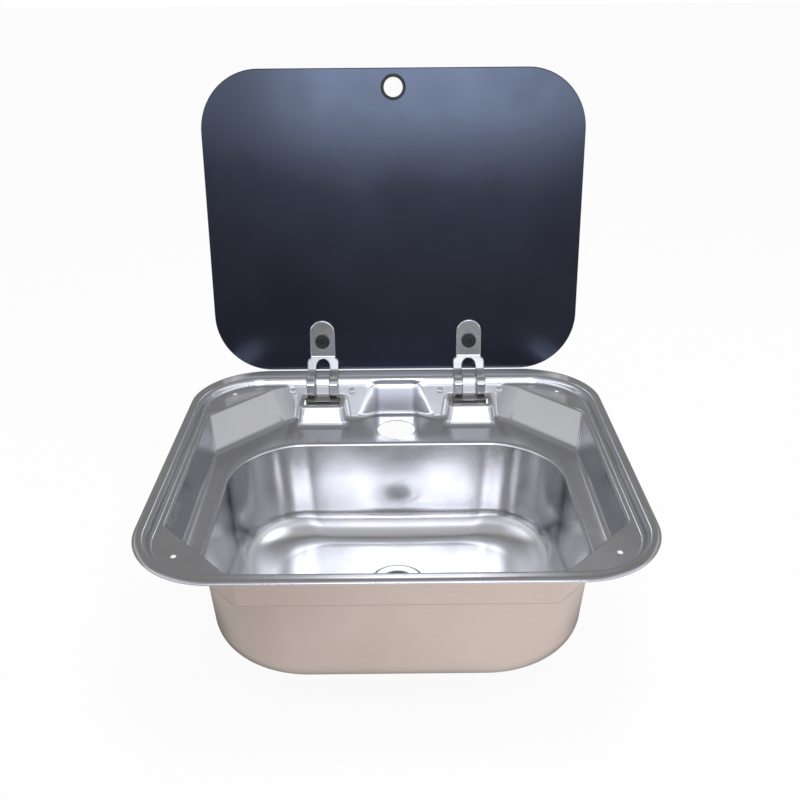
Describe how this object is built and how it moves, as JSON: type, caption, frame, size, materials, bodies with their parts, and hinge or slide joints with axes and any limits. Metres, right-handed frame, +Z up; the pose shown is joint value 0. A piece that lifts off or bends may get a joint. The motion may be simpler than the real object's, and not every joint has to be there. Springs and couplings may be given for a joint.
{
  "type": "caravan sink with glass lid",
  "caption": "Pressed steel sink for a small galley: one rectangular bowl, a raised tap deck behind it and a dark glass lid on gooseneck hinges that closes flush with the rim.",
  "frame": {"origin": "middle of the rim's plan, on the worktop plane that the rolled edge of the rim rests on", "axes": "+Z up out of the worktop, +Y towards the hinges at the back, +X to the right as seen from the front; the lid is open at rest"},
  "size_m": [0.42, 0.4215, 0.4929],
  "materials": {
    "satin_steel": "satin stainless sheet, drawn and lightly brushed",
    "bright_steel": "polished stainless",
    "zinc_steel": "plain zinc plated steel",
    "black_glass": "tempered glass, opaque black, polished edge",
    "black_plastic": "moulded black plastic",
    "black_rubber": "matt black rubber",
    "grey_plastic": "moulded grey plastic"
  },
  "bodies": {
    "sink": {"sink_pressing": "satin_steel", "hinge_base_left": "zinc_steel", "hinge_pin_left": "zinc_steel", "pin_clip_left": "zinc_steel", "pin_sleeve_left": "bright_steel", "rivet_left_outer": "bright_steel", "rivet_left_inner": "bright_steel", "hinge_base_right": "zinc_steel", "hinge_pin_right": "zinc_steel", "pin_clip_right": "zinc_steel", "pin_sleeve_right": "bright_steel", "rivet_right_outer": "bright_steel", "rivet_right_inner": "bright_steel", "waste_flange": "bright_steel", "waste_seal": "black_rubber", "waste_gasket": "black_rubber", "waste_body": "grey_plastic", "waste_screw": "bright_steel"},
    "lid": {"glass_lid": "black_glass", "finger_grommet": "black_rubber", "hinge_strap_left": "bright_steel", "strap_pad_left": "black_rubber", "clamp_screw_left": "black_plastic", "clamp_bush_left": "black_plastic", "clamp_cap_left": "black_plastic", "hinge_strap_right": "bright_steel", "strap_pad_right": "black_rubber", "clamp_screw_right": "black_plastic", "clamp_bush_right": "black_plastic", "clamp_cap_right": "black_plastic"}
  },
  "joints": [
    {"name": "lid_hinge", "type": "hinge", "parent": "sink", "child": "lid", "pos_m": [0, 0.164, -0.019], "axis": [1, 0, 0], "range_deg": [0, 98.7]}
  ]
}
